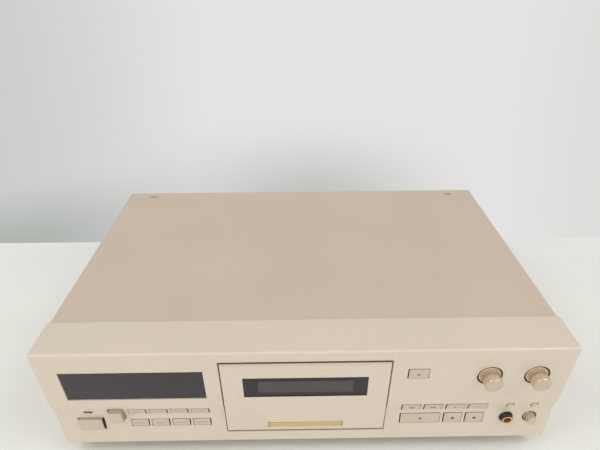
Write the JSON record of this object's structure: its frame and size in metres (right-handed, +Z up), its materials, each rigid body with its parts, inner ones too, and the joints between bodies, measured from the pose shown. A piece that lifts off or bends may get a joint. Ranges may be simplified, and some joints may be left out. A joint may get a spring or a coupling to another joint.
{
  "type": "cassette deck",
  "caption": "Front-loading stereo cassette deck in a low full-width case, with a door that tips forward, a display window, rows of keys, level knobs and a tape mechanism.",
  "frame": {"origin": "middle of the footprint, on the surface that the feet rest on", "axes": "+X across the front towards the knobs, +Y from the front panel to the rear, +Z up"},
  "size_m": [0.42, 0.2762, 0.125],
  "materials": {
    "panel": "champagne metallic paint on a moulded panel",
    "cover": "champagne satin paint on folded steel",
    "key": "champagne satin paint on moulded caps",
    "knob": "turned, champagne anodised",
    "smoke": "smoked acrylic",
    "gilt": "polished gilt foil on a strip",
    "steel": "zinc plated",
    "black": "moulded, black",
    "rubber": "moulded, black",
    "board": "brown laminate with green-brown mask",
    "brass": "turned",
    "core": "varnished laminations"
  },
  "bodies": {
    "root": {"chassis_pan": "steel", "top_cover": "cover", "rear_panel": "steel", "fascia": "panel", "foot_front_left": "rubber", "foot_front_right": "rubber", "foot_rear_left": "rubber", "foot_rear_right": "rubber", "cover_screw_left": "steel", "cover_screw_right": "steel", "display_window": "smoke", "front_board_left": "board", "front_board_right": "board", "phones_jack": "black", "main_board": "board", "transformer": "core", "jack_block": "black", "mains_inlet": "black", "mechanism_plate": "steel", "capstan_motor": "steel", "reel_motor": "steel", "drive_belt": "rubber"},
    "door": {"door_panel": "panel", "door_window": "smoke", "door_badge": "gilt", "cassette_holder": "black"},
    "function_key_1": {"function_key_1": "key"},
    "function_key_2": {"function_key_2": "key"},
    "function_key_3": {"function_key_3": "key"},
    "function_key_4": {"function_key_4": "key"},
    "function_key_5": {"function_key_5": "key"},
    "function_key_6": {"function_key_6": "key"},
    "function_key_7": {"function_key_7": "key"},
    "function_key_8": {"function_key_8": "key"},
    "rewind_key": {"rewind_key": "key"},
    "forward_key": {"forward_key": "key"},
    "reverse_key": {"reverse_key": "key"},
    "mute_key": {"mute_key": "key"},
    "play_key": {"play_key": "key"},
    "stop_key": {"stop_key": "key"},
    "record_key": {"record_key": "key"},
    "eject_button": {"eject_button": "key"},
    "power_button": {"power_button": "key"},
    "tuning_button": {"tuning_button": "key"},
    "monitor_button": {"monitor_button": "key"},
    "timer_slider": {"timer_slider": "key"},
    "input_level_knob": {"input_level_knob": "knob"},
    "balance_knob": {"balance_knob": "knob"},
    "phones_level_knob": {"phones_level_knob": "knob"},
    "flywheel_left": {"flywheel_left": "steel"},
    "flywheel_right": {"flywheel_right": "steel"},
    "motor_pulley": {"motor_pulley": "brass"},
    "reel_table_left": {"reel_table_left": "black"},
    "reel_table_right": {"reel_table_right": "black"},
    "reel_pinion": {"reel_pinion": "brass"},
    "idler_arm": {"idler_arm": "steel"},
    "idler_wheel": {"idler_wheel": "rubber"},
    "head_base": {"head_base": "steel"},
    "pinch_roller_left": {"pinch_roller_left": "rubber"},
    "pinch_roller_right": {"pinch_roller_right": "rubber"}
  },
  "joints": [
    {"name": "door_hinge", "type": "hinge", "parent": "root", "child": "door", "pos_m": [0, -0.1213, 0.0344], "axis": [1, 0, 0], "range_deg": [0, 25]},
    {"name": "function_key_1_push", "type": "slide", "parent": "root", "child": "function_key_1", "axis": [0, 1, 0], "range_m": [0, 0.0008], "stiffness_N_per_m": 200},
    {"name": "function_key_2_push", "type": "slide", "parent": "root", "child": "function_key_2", "axis": [0, 1, 0], "range_m": [0, 0.0008], "stiffness_N_per_m": 200},
    {"name": "function_key_3_push", "type": "slide", "parent": "root", "child": "function_key_3", "axis": [0, 1, 0], "range_m": [0, 0.0008], "stiffness_N_per_m": 200},
    {"name": "function_key_4_push", "type": "slide", "parent": "root", "child": "function_key_4", "axis": [0, 1, 0], "range_m": [0, 0.0008], "stiffness_N_per_m": 200},
    {"name": "function_key_5_push", "type": "slide", "parent": "root", "child": "function_key_5", "axis": [0, 1, 0], "range_m": [0, 0.0008], "stiffness_N_per_m": 200},
    {"name": "function_key_6_push", "type": "slide", "parent": "root", "child": "function_key_6", "axis": [0, 1, 0], "range_m": [0, 0.0008], "stiffness_N_per_m": 200},
    {"name": "function_key_7_push", "type": "slide", "parent": "root", "child": "function_key_7", "axis": [0, 1, 0], "range_m": [0, 0.0008], "stiffness_N_per_m": 200},
    {"name": "function_key_8_push", "type": "slide", "parent": "root", "child": "function_key_8", "axis": [0, 1, 0], "range_m": [0, 0.0008], "stiffness_N_per_m": 200},
    {"name": "rewind_key_push", "type": "slide", "parent": "root", "child": "rewind_key", "axis": [0, 1, 0], "range_m": [0, 0.0008], "stiffness_N_per_m": 200},
    {"name": "forward_key_push", "type": "slide", "parent": "root", "child": "forward_key", "axis": [0, 1, 0], "range_m": [0, 0.0008], "stiffness_N_per_m": 200},
    {"name": "reverse_key_push", "type": "slide", "parent": "root", "child": "reverse_key", "axis": [0, 1, 0], "range_m": [0, 0.0008], "stiffness_N_per_m": 200},
    {"name": "mute_key_push", "type": "slide", "parent": "root", "child": "mute_key", "axis": [0, 1, 0], "range_m": [0, 0.0008], "stiffness_N_per_m": 200},
    {"name": "play_key_push", "type": "slide", "parent": "root", "child": "play_key", "axis": [0, 1, 0], "range_m": [0, 0.0008], "stiffness_N_per_m": 200},
    {"name": "stop_key_push", "type": "slide", "parent": "root", "child": "stop_key", "axis": [0, 1, 0], "range_m": [0, 0.0008], "stiffness_N_per_m": 200},
    {"name": "record_key_push", "type": "slide", "parent": "root", "child": "record_key", "axis": [0, 1, 0], "range_m": [0, 0.0008], "stiffness_N_per_m": 200},
    {"name": "eject_button_push", "type": "slide", "parent": "root", "child": "eject_button", "axis": [0, 1, 0], "range_m": [0, 0.0012], "stiffness_N_per_m": 200},
    {"name": "power_button_push", "type": "slide", "parent": "root", "child": "power_button", "axis": [0, 1, 0], "range_m": [0, 0.002], "stiffness_N_per_m": 200},
    {"name": "tuning_button_push", "type": "slide", "parent": "root", "child": "tuning_button", "axis": [0, 1, 0], "range_m": [0, 0.0008], "stiffness_N_per_m": 200},
    {"name": "monitor_button_push", "type": "slide", "parent": "root", "child": "monitor_button", "axis": [0, 1, 0], "range_m": [0, 0.0008], "stiffness_N_per_m": 200},
    {"name": "timer_slide", "type": "slide", "parent": "root", "child": "timer_slider", "axis": [-1, 0, 0], "range_m": [0, 0.002]},
    {"name": "input_level_turn", "type": "hinge", "parent": "root", "child": "input_level_knob", "pos_m": [0.1456, -0.1281, 0.0954], "axis": [0, 1, 0], "range_deg": [-150, 150]},
    {"name": "balance_turn", "type": "hinge", "parent": "root", "child": "balance_knob", "pos_m": [0.183, -0.1281, 0.0954], "axis": [0, 1, 0], "range_deg": [-150, 150]},
    {"name": "phones_level_turn", "type": "hinge", "parent": "root", "child": "phones_level_knob", "pos_m": [0.1919, -0.1281, 0.0405], "axis": [0, 1, 0], "range_deg": [-150, 150]},
    {"name": "flywheel_left_spin", "type": "hinge", "parent": "root", "child": "flywheel_left", "pos_m": [-0.033, -0.0858, 0.0545], "axis": [0, 1, 0], "continuous": true},
    {"name": "flywheel_right_spin", "type": "hinge", "parent": "root", "child": "flywheel_right", "pos_m": [0.033, -0.0858, 0.0545], "axis": [0, 1, 0], "continuous": true},
    {"name": "motor_pulley_spin", "type": "hinge", "parent": "root", "child": "motor_pulley", "pos_m": [0, -0.0858, 0.0982], "axis": [0, 1, 0], "continuous": true},
    {"name": "reel_left_spin", "type": "hinge", "parent": "root", "child": "reel_table_left", "pos_m": [-0.02125, -0.1078, 0.0825], "axis": [0, 1, 0], "continuous": true},
    {"name": "reel_right_spin", "type": "hinge", "parent": "root", "child": "reel_table_right", "pos_m": [0.02125, -0.1078, 0.0825], "axis": [0, 1, 0], "continuous": true},
    {"name": "reel_pinion_spin", "type": "hinge", "parent": "root", "child": "reel_pinion", "pos_m": [0, -0.1078, 0.0657], "axis": [0, 1, 0], "continuous": true},
    {"name": "idler_swing", "type": "hinge", "parent": "root", "child": "idler_arm", "pos_m": [0, -0.1078, 0.0657], "axis": [0, 1, 0], "range_deg": [-12, 12]},
    {"name": "idler_wheel_spin", "type": "hinge", "parent": "idler_arm", "child": "idler_wheel", "pos_m": [0, -0.1078, 0.0765], "axis": [0, 1, 0], "continuous": true},
    {"name": "head_slide", "type": "slide", "parent": "root", "child": "head_base", "axis": [0, 0, 1], "range_m": [0, 0.008], "stiffness_N_per_m": 40},
    {"name": "pinch_roller_left_spin", "type": "hinge", "parent": "head_base", "child": "pinch_roller_left", "pos_m": [-0.033, -0.1198, 0.04045], "axis": [0, 1, 0], "continuous": true},
    {"name": "pinch_roller_right_spin", "type": "hinge", "parent": "head_base", "child": "pinch_roller_right", "pos_m": [0.033, -0.1198, 0.04045], "axis": [0, 1, 0], "continuous": true}
  ],
  "couplings": [
    {"joint": "flywheel_right_spin", "follows": "flywheel_left_spin", "ratio": 1},
    {"joint": "motor_pulley_spin", "follows": "flywheel_left_spin", "ratio": 5},
    {"joint": "idler_wheel_spin", "follows": "reel_pinion_spin", "ratio": -0.61538}
  ]
}
